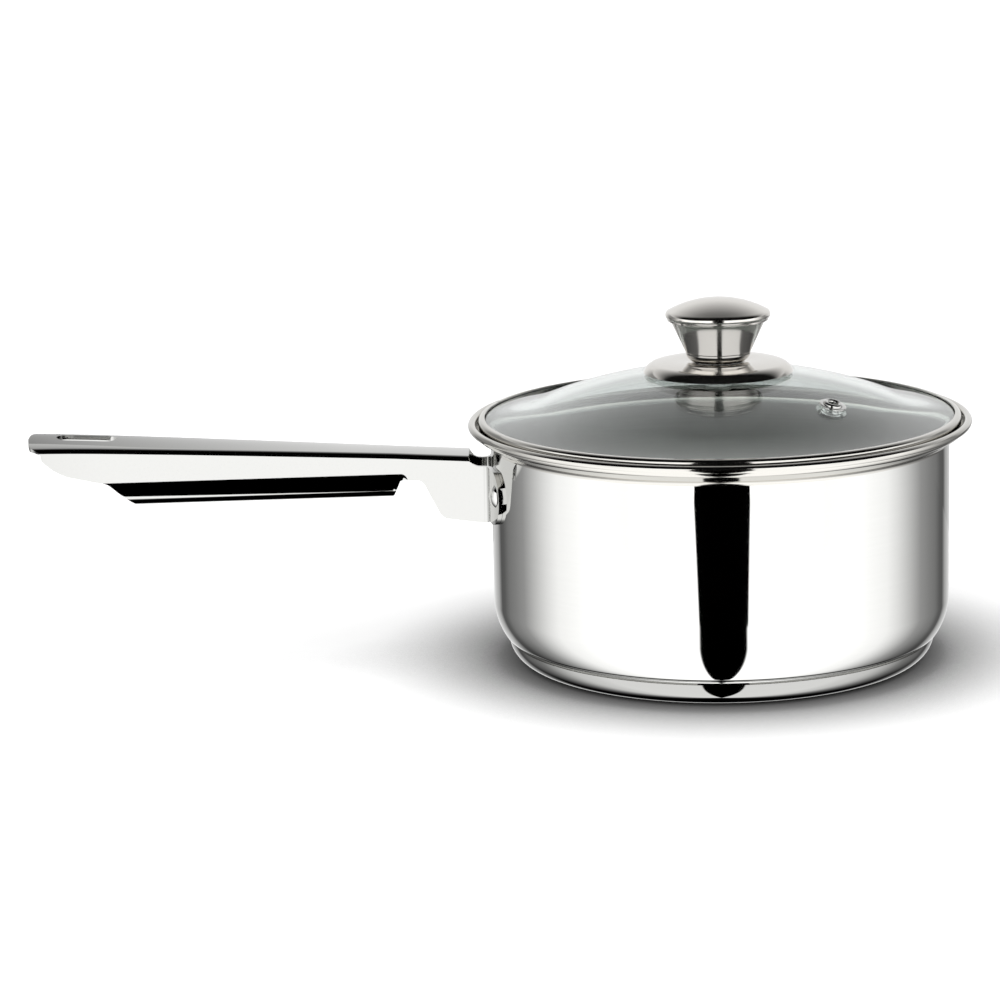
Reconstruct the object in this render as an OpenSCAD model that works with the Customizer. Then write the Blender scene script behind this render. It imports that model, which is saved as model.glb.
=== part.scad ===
// Saucepan with a glass lid: a drawn stainless pot on a capsule base, a stamped and riveted
// strip handle, and a tempered glass lid with a steel band, a steam vent and a knob.
// Millimetres, +Z up. The origin is the centre of the underside of the base. The handle
// points along -X and the lid lifts off along +Z.

/* [Pot] */
// Outer diameter of the straight wall
pot_d = 161; // [158:1:164]
// Height of the rolled rim above the surface the pan stands on
pot_h = 85.6; // [82:0.2:92]
// Thickness of the pot's steel
pot_t = 0.8; // [0.7:0.1:1.0]
// Outer radius of the corner between wall and floor
corner_r = 22; // [20:1:24]
// Diameter over the rolled rim
rim_d = 176.6; // [176:0.2:178]

/* [Base] */
// Outer radius of the capsule's rounded edge
cap_edge_r = 8.6; // [8:0.2:9]
// Diameter of the capsule at its upper edge
cap_d = 150.8; // [150:0.2:151.6]
// Thickness of the capsule's steel
cap_t = 0.6; // [0.5:0.1:0.8]

/* [Handle] */
// Distance from the pot's axis to the free end
handle_reach = 243; // [225:1:260]
// Width at the pot
handle_root_w = 18; // [17:0.5:20]
// Width at the free end
handle_end_w = 30.4; // [26:0.2:34]
// Height of the crest where the handle's top ends, beside the pot
handle_root_z = 74.9; // [74:0.1:76]
// Rise of the crest towards the free end, in degrees
handle_rise = 3.3; // [2.6:0.1:3.6]
// Thickness of the stamped strip
strip_t = 1.5; // [1.2:0.1:1.8]
// Radius of the crown across the top at the pot
crown_r = 80; // [60:5:120]
// Radius of the crown across the top at the free end
crown_end_r = 50; // [40:5:80]
// Outer radius of the long upper corners
strip_corner_r = 2.8; // [2.4:0.2:3.4]
// Width of the curled-in grip edges
curl_w = 8; // [7:0.25:8.25]
// Height of the curled-in grip edges
curl_h = 10; // [8:0.5:11]
// Length of the hanging slot
slot_len = 21.4; // [14:0.2:24]
// Width of the hanging slot
slot_w = 9.4; // [7:0.2:12]

/* [Rivets] */
// Angle between each rivet and the handle's centre plane, seen from the pot's axis
rivet_angle = 14.8; // [14.2:0.1:16]
// Height of the rivets
rivet_z = 62.8; // [61:0.2:64]
// Diameter of the rivet heads
rivet_head_d = 7.8; // [7:0.2:8.4]
// Diameter of the rivet shanks
rivet_shank_d = 4.8; // [4:0.2:5]

/* [Lid] */
// Thickness of the glass
glass_t = 4; // [3.5:0.5:4]
// Outer radius of the glass dome
dome_r = 180; // [176:1:186]
// Height of the outside of the dome at its centre
dome_z = 102.8; // [102.4:0.1:103.4]
// Outer diameter of the steel band
band_d = 169.2; // [168.8:0.2:169.4]
// Thickness of the band's steel
band_t = 0.6; // [0.5:0.1:0.6]
// Width of the band's butt seam
seam_w = 0.3; // [0.2:0.1:0.5]
// Distance of the steam vent from the lid's axis
vent_at = 52; // [46:1:56]
// Direction of the steam vent from the lid's axis, in degrees from +X
vent_angle = -45; // [-80:5:-10]
// Inner diameter of the steam vent
vent_d = 3.2; // [2.6:0.2:4]

/* [Knob] */
// Diameter of the knob at its cap
knob_d = 36.8; // [35:0.2:38]
// Height of the top of the knob
knob_top = 127.7; // [127:0.1:129]
// Diameter of the crease above the knob's foot
foot_d = 22.8; // [22:0.2:24]
// Diameter of the plate under the knob
plate_d = 52.6; // [50:0.2:54]
// Thickness of the knob's steel
knob_t = 0.8; // [0.6:0.1:0.9]
// Nominal diameter of the screw
screw_d = 5; // [4:0.5:5]

/* [Hidden] */
$fn = 96;
air = 0.05;         // space left between pieces that are pressed or screwed together
far = 400;          // longer than anything it cuts

// Pot: levels and centres on the wall's mid-line
pot_r = pot_d / 2;
wall_r = pot_r - pot_t / 2;
corner_z = corner_r;
corner_c = [pot_r - corner_r, corner_z];
floor_r = 8;                              // outer radius of the tighter curve under the corner
step_angle = 33.4;                        // where the step above the capsule starts
floor_angle = 39.5;                       // where the tighter curve starts
step_in = 0.6;
floor_c = corner_c + (corner_r - step_in - floor_r) * [cos(floor_angle), -sin(floor_angle)];
floor_z = floor_c.y - floor_r;            // underside of the pot's floor
flare_tilt = 30;                          // slope of the flare from the horizontal
flare_in_r = 2.2;
flare_out_r = 1.8;
curl_turn = 220;
rim_curl_r = 1.0;
rim_r = rim_d / 2 - pot_t / 2 - 2 * rim_curl_r;     // mid-line of the upright part of the rim
flare_run = rim_r - wall_r - (flare_in_r + flare_out_r) * (1 - cos(90 - flare_tilt));
flare_len = flare_run / cos(flare_tilt);
rim_curl_z = pot_h - pot_t / 2 - rim_curl_r;
flare_h = (flare_in_r + flare_out_r) * sin(90 - flare_tilt) + flare_len * sin(flare_tilt);
flare_z = rim_curl_z - 1.1 - flare_h;     // where the straight wall ends

// Handle
root_x = 88.2;                            // the top ends here
taper_x = 115;                            // the handle widens from here on
neck_x = 111;                             // the curled grip and the plain neck meet here
grip_z = 59.6;                            // underside of the grip
flange_y = 26.2;
flange_z = [52, 71.6];
flange_r = pot_r + air;
lip = 1;                                  // flat end of each curled edge
cheek_h = 26;                             // height of the neck's cheeks before they are cut
slot_x = -handle_reach + 20.1;            // centre of the hanging slot
crown_steps = 5;
corner_steps = 6;
curl_steps = 9;
end_cut = [                               // x, z and corner radius of what is cut off the free end
    [-handle_reach - 30, 40, 0], [-handle_reach - 30, 96, 0], [-handle_reach - 12.7, 96, 0],
    [-handle_reach + 11.1, 72.2, 20], [-214.5, 68.4, 5], [-205.1, 59.4, 5], [-203, 40, 0]];
gap_cut = [                               // the same for the clearance under the neck
    [-130, 30, 0], [-130, 59.4, 0], [-115.2, 59.4, 2.5], [-112.3, 66.6, 1], [-104.6, 66.6, 3.5],
    [-97.8, 52.9, 4], [-78, 50.2, 0], [-60, 50.2, 0], [-60, 30, 0]];
end_corner_r = 7;                         // rounding of the free end seen from above
level_from = 127;                         // the crest starts to level out this far along
level_drop = 0.4;                         // and ends this much below a straight line
grip_stations = [155, 148, 141, 134, 127, 100, 75, 50];
notch_cut = [[-60, 71.05, 0], [-60, 96, 0], [-root_x, 96, 0], [-root_x, 71.05, 4]];

// Lid
glass_mid_r = dome_r - glass_t / 2;
dome_c = dome_z - dome_r;                 // height of the dome's centre
edge_bend_at = 64;                        // the dome turns up into its flatter border here
border_in_slope = asin(edge_bend_at / dome_r);
border_out_slope = 8.5;
border_r = 85.5 + glass_t / 2;
glass_hole_d = 9;
band_r = band_d / 2;
band_top = 87.1;
band_bottom = 81.7;
band_corner_r = 1.1;
seam_angle = 160;
vent_hole_d = 7;
vent_tilt = asin(vent_at / dome_r);
vent_flange_d = 9.4;
vent_roll_d = 6.4;

// Knob
plate_z = 105.2;                          // top of the plate under the knob
crest_at = 14.5;
crest_r = 40;
plate_edge_r = 4.6;
knob_foot_z = plate_z + 0.1;
crease_z = 108.8;
lip_z = 119.9;
lip_r = 16.7;
cap_dome_r = 37;
cap_edge_z = knob_top - cap_dome_r + sqrt(cap_dome_r * cap_dome_r - knob_d * knob_d / 4);
screw_r = screw_d / 2;
glass_under = dome_z - glass_t;
gasket_t = 1.5;
washer_t = 1;
screw_head = [9.6, 2.8];                  // diameter and height

pot_steel = "Gainsboro";
satin_steel = "Silver";
silicone = "WhiteSmoke";

// Points along an arc about c, both ends included
function arc(c, r, from, to, steps) =
    [for (i = [0 : steps]) let (a = from + (to - from) * i / steps) c + r * [cos(a), sin(a)]];

function reversed(list) = [for (i = [len(list) - 1 : -1 : 0]) list[i]];

function unit(v) = v / norm(v);

// Left-hand normal of an open path at point i
function normal_at(path, i) =
    let (a = path[max(i - 1, 0)], b = path[min(i + 1, len(path) - 1)], d = unit(b - a)) [-d.y, d.x];

function shifted(path, by) = [for (i = [0 : len(path) - 1]) path[i] + by * normal_at(path, i)];

// Replaces a corner at b by an arc of radius r
function rounded_corner(a, b, c, r) =
    r == 0 ? [b] :
    let (u = unit(a - b), v = unit(c - b), half = acos(u * v) / 2,
         centre = b + unit(u + v) * r / sin(half), p = b + u * r / tan(half), q = b + v * r / tan(half),
         from = atan2(p.y - centre.y, p.x - centre.x), to = atan2(q.y - centre.y, q.x - centre.x),
         turn = to - from > 180 ? to - from - 360 : to - from < -180 ? to - from + 360 : to - from,
         steps = max(3, ceil(abs(turn) / 10)))
    arc(centre, r, from, from + turn, steps);

// Outline from corners given as x, y and corner radius
function rounded(corners) =
    let (n = len(corners), at = function (i) [corners[(i + n) % n].x, corners[(i + n) % n].y])
    [for (i = [0 : n - 1]) each rounded_corner(at(i - 1), at(i), at(i + 1), corners[i].z)];

// A turned sheet part: a path on its mid-line, thickened and spun about Z
module spun(path, t) {
    outline = concat(shifted(path, t / 2), reversed(shifted(path, -t / 2)));
    rotate_extrude() polygon([for (p = outline) [max(p.x, 0), p.y]]);
}

module ring(outer_d, inner_d, h) {
    difference() {
        cylinder(d = outer_d, h = h);
        translate([0, 0, -1]) cylinder(d = inner_d, h = h + 2);
    }
}

// Places children on the dome's outside at the vent, square to the glass
module at_vent(out = 0) {
    rotate([0, 0, vent_angle]) translate([0, 0, dome_c]) rotate([0, vent_tilt, 0])
        translate([0, 0, dome_r + out]) children();
}

// Places children at a rivet, with +Z pointing out from the pot's axis
module at_rivet(side) {
    rotate([0, 0, 180 + side * rivet_angle]) translate([0, 0, rivet_z]) rotate([0, 90, 0]) children();
}

function pot_path() = concat(
    [[0, floor_z + pot_t / 2]],
    arc(floor_c, floor_r - pot_t / 2, -90, -floor_angle, 8),
    arc(corner_c, corner_r - step_in - pot_t / 2, -floor_angle + 1.5, -step_angle - 1.5, 2),
    arc(corner_c, corner_r - pot_t / 2, -step_angle, 0, 12),
    arc([wall_r + flare_in_r, flare_z], flare_in_r, 180, 90 + flare_tilt, 8),
    arc([rim_r - flare_out_r, rim_curl_z - 1.1], flare_out_r, flare_tilt - 90, 0, 8),
    arc([rim_r + rim_curl_r, rim_curl_z], rim_curl_r, 180, 180 - curl_turn, 18));

module pan_body() {
    color(pot_steel) difference() {
        spun(pot_path(), pot_t);
        for (side = [-1, 1]) at_rivet(side) cylinder(d = rivet_shank_d + 2 * air, h = pot_r + 5);
    }
}

module base_disc() {
    color("LightGray") rotate_extrude() polygon(concat(
        [[0, cap_t + air], [cap_c().x, cap_t + air]],
        arc(cap_c(), cap_edge_r - cap_t - air, -75, -45, 4),
        arc(floor_c, floor_r + air, -50, -90, 5),
        [[0, floor_z - air]]));
}

function cap_c() = [cap_d / 2 - cap_edge_r, cap_edge_r];

module base_cap() {
    path = concat([[0, cap_t / 2]], arc(cap_c(), cap_edge_r - cap_t / 2, -90, -3, 14));
    color(pot_steel) spun(path, cap_t);
}

// Half of the strip's width at distance x out from the neck's inner end
function half_w(x) = handle_root_w / 2
    + max(0, x - taper_x + root_x) * (handle_end_w - handle_root_w) / 2 / (handle_reach - taper_x);

// Right half of the strip's section at distance x along its crest, o inside its outer face. It runs
// from the crest over the corner and down the wall, which ends in the curl or below the cheek.
function half_section(x, o, curled) =
    let (w = half_w(x), crown = crown_r + (crown_end_r - crown_r) * x / (handle_reach - root_x),
         bend = asin((w - strip_corner_r) / (crown - strip_corner_r)), crown_c = [0, crest_level(x) - crown],
         corner = crown_c + (crown - strip_corner_r) * [sin(bend), cos(bend)],
         bottom = (grip_z - handle_root_z) / cos(handle_rise) - x * tan(handle_rise))
    concat(
        arc(crown_c, crown - o, 90, 90 - bend, crown_steps),
        arc(corner, strip_corner_r - o, 90 - bend - 8, 0, corner_steps),
        curled ? [for (p = arc([0, 0], 1, 0, -90, curl_steps))
            [w - curl_w + (curl_w - o) * p.x, bottom + curl_h + (curl_h - o) * p.y]] : [],
        curled ? [[max(w - curl_w - lip, 0.4), bottom + o]] : [[w - o, -cheek_h]]);

function crest_level(x) = -level_drop * pow(max(0, x - level_from) / (handle_reach - root_x - level_from), 2);

function section(x, curled) =
    let (outer = half_section(x, 0, curled), inner = half_section(x, strip_t, curled),
         left = function (p) [for (q = p) [-q.x, q.y]], rest = function (p) [for (i = [1 : len(p) - 1]) p[i]])
    concat(reversed(left(outer)), rest(outer), reversed(inner), rest(left(inner)));

// Places children along the strip's crest: X points back to the pot and Z stands square to the crest
module along_crest() {
    translate([-root_x, 0, handle_root_z]) rotate([0, handle_rise, 0]) children();
}

// The curled strip, skinned over its sections at the given distances. Point i of the outer face
// lies opposite point n - 1 - i of the inner face.
module curled_strip(stations) {
    rings = [for (x = stations) [for (p = section(x, true)) [-x, p.x, p.y]]];
    n = len(rings[0]);
    last = len(stations) - 1;
    along_crest() polyhedron(points = [for (r = rings) each r], faces = concat(
        [for (i = [0 : n / 2 - 2]) [i + 1, i, n - 1 - i, n - 2 - i]],
        [for (s = [0 : last - 1], i = [0 : n - 1]) let (a = s * n, j = (i + 1) % n)
            each [[a + i, a + n + j, a + n + i], [a + i, a + j, a + n + j]]],
        [for (i = [0 : n / 2 - 2]) let (a = last * n) [a + i, a + i + 1, a + n - 2 - i, a + n - 1 - i]]));
}

// A slab across the handle, from an outline seen from the side
module across(corners) {
    translate([0, far / 2, 0]) rotate([90, 0, 0]) linear_extrude(far) polygon(rounded(corners));
}

module slot() {
    straight = slot_len - slot_w;
    translate([slot_x, 0, 40]) linear_extrude(60) {
        square([straight, slot_w], center = true);
        for (side = [-1, 1]) translate([side * straight / 2, 0]) circle(d = slot_w);
    }
}

module grip() {
    half = handle_end_w / 2 - 0.2;
    difference() {
        curled_strip(concat([handle_reach + 5 - root_x], grip_stations, [taper_x - root_x, neck_x - root_x]));
        across(end_cut);
        across(gap_cut);
        translate([0, 0, 40]) linear_extrude(60) difference() {
            translate([-handle_reach - 20, -30]) square([40, 60]);
            polygon(rounded([[-handle_reach + 30, -32, 0], [-handle_reach + 30, 32, 0], [-handle_reach + 1, 32, 0],
                             [-handle_reach, half, end_corner_r], [-handle_reach, -half, end_corner_r],
                             [-handle_reach + 1, -32, 0]]));
        }
        slot();
    }
}

// One flange: it hugs the pot from inside the cheek out to its rounded end
module flange() {
    inner = handle_root_w / 2 - strip_t / 2;
    intersection() {
        rotate([90, 0, -90]) linear_extrude(pot_r + 10) polygon(rounded([
            [inner, flange_z.x, 0], [flange_y, flange_z.x, 9], [flange_y, flange_z.y, 9],
            [inner, flange_z.y, 0]]));
        rotate([0, 0, 150]) rotate_extrude(angle = 60) translate([flange_r - 0.5, flange_z.x - 1])
            square([strip_t + 0.5, flange_z.y - flange_z.x + 2]);
    }
}

module neck() {
    difference() {
        union() {
            along_crest() translate([root_x - neck_x, 0, 0]) rotate([90, 0, 90]) linear_extrude(33)
                polygon(section(0, false));
            flange();
            mirror([0, 1, 0]) flange();
        }
        across(gap_cut);
        across(notch_cut);
        cylinder(r = flange_r, h = far);
        for (side = [-1, 1]) at_rivet(side) cylinder(d = rivet_shank_d + 2 * air, h = pot_r + 10);
    }
}

module handle() {
    color(pot_steel) union() {
        grip();
        neck();
    }
}

module handle_rivets() {
    head_at = flange_r + strip_t + air;
    tail_at = sqrt(pow(pot_r - pot_t, 2) - pow(rivet_head_d / 2, 2)) - air;
    dome_h = 1.7;
    ball_r = (pow(rivet_head_d / 2, 2) + dome_h * dome_h) / 2 / dome_h;
    color(pot_steel) for (side = [-1, 1]) at_rivet(side) {
        translate([0, 0, tail_at - 0.5]) cylinder(d = rivet_shank_d, h = head_at - tail_at + 1);
        translate([0, 0, tail_at - 1.2]) cylinder(d = rivet_head_d, h = 1.2);
        intersection() {
            translate([0, 0, head_at + dome_h - ball_r]) sphere(r = ball_r);
            translate([0, 0, head_at]) cylinder(d = rivet_head_d, h = dome_h + 1);
        }
    }
}

function border_start() = [edge_bend_at - glass_t / 2 * sin(border_in_slope),
                           dome_c + glass_mid_r * cos(border_in_slope)];

function glass_path() =
    let (s = border_start(), c = s + border_r * [sin(border_in_slope), cos(border_in_slope)],
         hole = asin(glass_hole_d / 2 / glass_mid_r))
    concat(
        arc([0, dome_c], glass_mid_r, 90 - hole, 90 - border_in_slope, 18),
        arc(c, border_r, 270 - border_in_slope + 0.8, 270 - border_out_slope, 10));

module lid_glass() {
    path = glass_path();
    tip = path[len(path) - 1];
    color("LightCyan", 0.35) difference() {
        rotate_extrude() polygon(concat(
            shifted(path, glass_t / 2),
            arc(tip, glass_t / 2, 60 - border_out_slope, -60 - border_out_slope, 6),
            reversed(shifted(path, -glass_t / 2))));
        at_vent(-glass_t - 3) cylinder(d = vent_hole_d, h = glass_t + 6);
    }
}

module lid_rim() {
    mid = band_t / 2;
    side = band_r - mid;
    c = side - band_corner_r;
    path = concat(
        [[c - 0.8, band_top - mid]],
        arc([c, band_top - mid - band_corner_r], band_corner_r, 90, 0, 8),
        arc([c, band_bottom + mid + band_corner_r], band_corner_r, 0, -90, 8),
        [[c - 2, band_bottom + mid]]);
    color(pot_steel) difference() {
        spun(path, band_t);
        rotate([0, 0, seam_angle]) translate([band_r - 8, -seam_w / 2, band_bottom - 1])
            cube([12, seam_w, band_top - band_bottom + 2]);
    }
}

module vent_eyelet() {
    tube_d = vent_hole_d - 0.4;
    color(satin_steel) at_vent() {
        translate([0, 0, 0.1]) ring(vent_flange_d, vent_d + 0.8, 0.7);
        translate([0, 0, 0.8]) rotate_extrude() difference() {
            translate([(vent_d + vent_roll_d) / 4 + 0.1, 0]) circle(d = (vent_roll_d - vent_d) / 2 + 0.2);
            translate([0, -4]) square([vent_flange_d, 4]);
        }
        translate([0, 0, -glass_t - 1.4]) ring(tube_d, vent_d + 0.8, glass_t + 1.6);
    }
}

module vent_washer() {
    color(satin_steel) at_vent(-glass_t - 1) ring(vent_flange_d + 1, vent_hole_d - 0.2, 0.8);
}

module knob_plate() {
    crest_z = plate_z + 0.6 - knob_t / 2;
    edge_at = plate_d / 2 - knob_t / 2 - plate_edge_r * (sin(70) - sin(11.5));
    slope = asin((edge_at - crest_at) / crest_r);
    edge_c = [crest_at, crest_z - crest_r] + (crest_r - plate_edge_r) * [sin(slope), cos(slope)];
    path = concat(
        [[screw_r + 0.3, plate_z - knob_t / 2], [9.5, plate_z - knob_t / 2]],
        arc([crest_at, crest_z - crest_r], crest_r, 94.6, 90 - slope, 10),
        arc(edge_c, plate_edge_r, 90 - slope - 6, 20, 8));
    color(satin_steel) spun(path, knob_t);
}

module knob_gasket() {
    color(silicone) translate([0, 0, dome_z + air]) ring(22, screw_d + 1, plate_z - knob_t - dome_z - 2 * air);
}

module knob_body() {
    half = knob_t / 2;
    crease = [foot_d / 2 - half, crease_z];
    path = concat(
        [[screw_r + 0.3, knob_foot_z + half]],
        arc([crease.x - 3.2, knob_foot_z + half + 3.2], 3.2, -90, -4, 8),
        [crease, [lip_r - half - 0.2, lip_z], [lip_r - half + 0.1, lip_z + 1.3]]);
    color(satin_steel) spun(path, knob_t);
}

module knob_cap() {
    half = knob_t / 2;
    edge = knob_d / 2 - half;
    slope = asin((edge - 0.9) / cap_dome_r);
    path = concat(
        [[0, knob_top - half]],
        arc([0, knob_top - cap_dome_r], cap_dome_r - half, 87, 90 - slope, 12),
        arc([edge - 1.2, cap_edge_z - 0.9], 1.2, 40, -60, 8),
        [[lip_r + half + 0.15, lip_z + 0.2]]);
    color(satin_steel) spun(path, knob_t);
}

module knob_insert() {
    color("LightGray") translate([0, 0, knob_foot_z + knob_t + air]) difference() {
        cylinder(d = 11, h = 10);
        translate([0, 0, -1]) cylinder(d = screw_d + 2 * air, h = 10);
    }
}

module glass_gasket() {
    color(silicone) {
        translate([0, 0, glass_under - gasket_t - air]) ring(20, screw_d + 0.6, gasket_t - 0.3);
        translate([0, 0, glass_under - gasket_t - air]) ring(glass_hole_d - 0.4, screw_d + 0.6, gasket_t + 3);
    }
}

module screw_washer() {
    color(satin_steel) translate([0, 0, glass_under - gasket_t - washer_t - 2 * air])
        ring(18, screw_d + 0.6, washer_t);
}

module knob_screw() {
    head_z = glass_under - gasket_t - washer_t - 3 * air;
    recess = [1, 3.2, 1.6];               // width, length and depth of the cross recess
    color(satin_steel) difference() {
        union() {
            cylinder_from(head_z - screw_head.y, head_z, screw_head.x);
            cylinder_from(head_z - 0.5, knob_foot_z + 8, screw_d);
        }
        for (turn = [0, 90]) rotate([0, 0, turn])
            translate([-recess.y / 2, -recess.x / 2, head_z - screw_head.y - 1]) cube([recess.y, recess.x, recess.z + 1]);
    }
}

module cylinder_from(z0, z1, d) {
    translate([0, 0, z0]) cylinder(d = d, h = z1 - z0);
}

pan_body();
base_disc();
base_cap();
handle();
handle_rivets();
lid_glass();
lid_rim();
vent_eyelet();
vent_washer();
knob_plate();
knob_gasket();
knob_body();
knob_cap();
knob_insert();
glass_gasket();
screw_washer();
knob_screw();
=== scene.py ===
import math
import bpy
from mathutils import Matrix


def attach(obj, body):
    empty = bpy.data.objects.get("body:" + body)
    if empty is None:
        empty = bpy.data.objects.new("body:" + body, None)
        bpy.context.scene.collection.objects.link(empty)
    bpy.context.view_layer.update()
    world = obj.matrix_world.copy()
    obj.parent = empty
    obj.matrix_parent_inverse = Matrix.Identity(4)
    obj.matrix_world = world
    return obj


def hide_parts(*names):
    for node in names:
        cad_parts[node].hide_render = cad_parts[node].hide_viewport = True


bl_info = {
    "name": "Saucepan with glass lid",
    "version": (1, 0, 0),
    "blender": (4, 5, 0),
    "location": "3D View > Sidebar > Saucepan",
    "description": "Builds a polished steel saucepan and its glass lid around a packed CAD frame",
    "category": "Add Mesh",
}

import bpy
import bmesh
from mathutils import Matrix, Vector

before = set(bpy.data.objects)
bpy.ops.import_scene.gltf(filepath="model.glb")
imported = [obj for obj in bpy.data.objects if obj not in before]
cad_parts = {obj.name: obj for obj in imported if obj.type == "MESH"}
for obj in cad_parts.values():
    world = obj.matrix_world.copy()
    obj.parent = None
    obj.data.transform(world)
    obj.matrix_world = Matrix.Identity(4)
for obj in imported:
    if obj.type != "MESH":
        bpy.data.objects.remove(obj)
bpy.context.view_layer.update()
MM = 0.001


# ---------------------------------------------------------------- small helpers

def linear(hex_colour):
    """sRGB hex to linear RGBA."""
    parts = [int(hex_colour[i:i + 2], 16) / 255 for i in (1, 3, 5)]
    return tuple(c / 12.92 if c <= 0.04045 else ((c + 0.055) / 1.055) ** 2.4 for c in parts) + (1.0,)


def add(tree, kind, settings=None, **links):
    """Adds a node. Settings go on the node, links go to its inputs: a socket or a plain value."""
    node = tree.nodes.new(kind)
    for key, value in (settings or {}).items():
        setattr(node, key, value)
    for key, value in links.items():
        name = key.replace("_", " ")
        socket = node.inputs[int(key[1:])] if key[0] == "i" and key[1:].isdigit() else node.inputs[name]
        if isinstance(value, bpy.types.NodeSocket):
            tree.links.new(value, socket)
        else:
            socket.default_value = value
    return node


def ramp(tree, value, stops):
    """Grey ramp with its stops in order, each at a share or, past 1, at degrees of half a turn."""
    scale = 180.0 if stops[-1][0] > 1 else 1.0
    node = add(tree, "ShaderNodeValToRGB", {}, Fac=value)
    elements = node.color_ramp.elements
    elements.remove(elements[1])
    for i, (place, level) in enumerate(stops):
        stop = elements[0] if i == 0 else elements.new(place / scale)
        stop.position, stop.color = place / scale, grey(level)
    return node.outputs["Color"]


def darker(hex_colour, share):
    """The colour at a share of its strength, as linear RGBA."""
    return tuple(c * share for c in linear(hex_colour)[:3]) + (1.0,)


def grey(level):
    return (level, level, level, 1)


def turn_share(tree, radians, sign=1.0):
    """An angle as a share of half a turn, nothing below zero."""
    return add(tree, "ShaderNodeMath", {"operation": "MULTIPLY", "use_clamp": True}, i0=radians,
               i1=sign / math.pi).outputs[0]


def arc(cx, cz, r, start, end, step=4.0):
    """Points along an arc, angles in degrees, both ends included."""
    n = max(2, math.ceil(abs(end - start) / step))
    return [(cx + r * math.cos(math.radians(start + (end - start) * i / n)),
             cz + r * math.sin(math.radians(start + (end - start) * i / n))) for i in range(n + 1)]


def offset(path, by):
    """The path moved to its left by the given distance."""
    out = []
    for i, (x, z) in enumerate(path):
        ax, az = path[max(i - 1, 0)]
        bx, bz = path[min(i + 1, len(path) - 1)]
        d = math.hypot(bx - ax, bz - az)
        out.append((x - by * (bz - az) / d, z + by * (bx - ax) / d))
    return out


def sheet_outline(path, thickness):
    """The closed outline of a sheet that has the path as its middle."""
    return offset(path, thickness / 2) + offset(path, -thickness / 2)[::-1]


def rounded(corners):
    """Polyline from (x, z, radius) corners, ends kept."""
    out = []
    for i, (x, z, r) in enumerate(corners):
        if r == 0 or i in (0, len(corners) - 1):
            out.append((x, z))
            continue
        a, c, b = Vector(corners[i - 1][:2]), Vector(corners[i + 1][:2]), Vector((x, z))
        u, v = (a - b).normalized(), (c - b).normalized()
        half = math.acos(max(-1, min(1, u.dot(v)))) / 2
        centre = b + (u + v).normalized() * r / math.sin(half)
        p, q = b + u * r / math.tan(half), b + v * r / math.tan(half)
        t0 = math.degrees(math.atan2(p.y - centre.y, p.x - centre.x))
        t1 = math.degrees(math.atan2(q.y - centre.y, q.x - centre.x))
        turn = (t1 - t0 + 180) % 360 - 180
        out += arc(centre.x, centre.y, r, t0, t0 + turn, 3)
    return out


def new_object(name, verts, faces, sharp=35):
    """A mesh object in metres from millimetre points, smooth apart from its sharp edges."""
    mesh = bpy.data.meshes.new(name)
    mesh.from_pydata([tuple(c * MM for c in v) for v in verts], [], faces)
    obj = bpy.data.objects.new(name, mesh)
    bpy.context.scene.collection.objects.link(obj)
    bm = bmesh.new()
    bm.from_mesh(mesh)
    bmesh.ops.remove_doubles(bm, verts=bm.verts, dist=1e-6)
    bmesh.ops.dissolve_degenerate(bm, edges=bm.edges, dist=1e-7)
    bmesh.ops.recalc_face_normals(bm, faces=bm.faces)
    bm.to_mesh(mesh)
    bm.free()
    smooth(obj, sharp)
    return obj


def smooth(obj, sharp=35):
    """Smooth shading, with edges over the given angle kept sharp."""
    for p in obj.data.polygons:
        p.use_smooth = True
    obj.data.set_sharp_from_angle(angle=math.radians(sharp))


def turned(name, outline, steps=192, start=0.0, span=360.0, place=None, sharp=35):
    """A turned piece: a closed outline of (radius, height) in millimetres, spun about Z."""
    full = span >= 360
    rows = steps if full else steps + 1
    place = place or Matrix.Identity(4)
    verts, faces, n = [], [], len(outline)
    for j in range(rows):
        a = math.radians(start + span * j / steps)
        for r, z in outline:
            r = max(r, 0.0)
            verts.append(tuple(place @ Vector((r * math.cos(a), r * math.sin(a), z))))
    for j in range(steps):
        k = (j + 1) % rows
        for i in range(n):
            m = (i + 1) % n
            if outline[i][0] < 1e-6 and outline[m][0] < 1e-6:
                continue
            faces.append((j * n + i, k * n + i, k * n + m, j * n + m))
    if not full:
        faces.append(tuple(range(n)))
        faces.append(tuple(range((rows - 1) * n, rows * n))[::-1])
    return new_object(name, verts, faces, sharp)


def settled(obj):
    """Applies the object's modifiers into a plain mesh."""
    bpy.context.view_layer.update()
    graph = bpy.context.evaluated_depsgraph_get()
    mesh = bpy.data.meshes.new_from_object(obj.evaluated_get(graph))
    obj.modifiers.clear()
    old, obj.data = obj.data, mesh
    if old.users == 0:
        bpy.data.meshes.remove(old)
    return obj


def finish_piece(obj, body, materials, nodes=()):
    """Materials on a built piece, the CAD nodes that it replaces and its body."""
    obj.data.materials.clear()
    for m in materials:
        obj.data.materials.append(m)
    if nodes:
        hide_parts(*nodes)
    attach(obj, body)


def refinish(node, mat):
    """A new material on a piece that keeps its CAD mesh."""
    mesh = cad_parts[node].data
    mesh.materials.clear()
    mesh.materials.append(mat)


# ---------------------------------------------------------------- materials

def material(name):
    """The material with its tree and output, or with None for both where it is already built."""
    mat = bpy.data.materials.get(name)
    if mat:
        return mat, None, None
    mat = bpy.data.materials.new(name)
    mat.use_nodes = True
    mat.node_tree.nodes.clear()
    out = mat.node_tree.nodes.new("ShaderNodeOutputMaterial")
    return mat, mat.node_tree, out


SCRATCH_R = 80  # mm, where a scratch has its stated length


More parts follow.
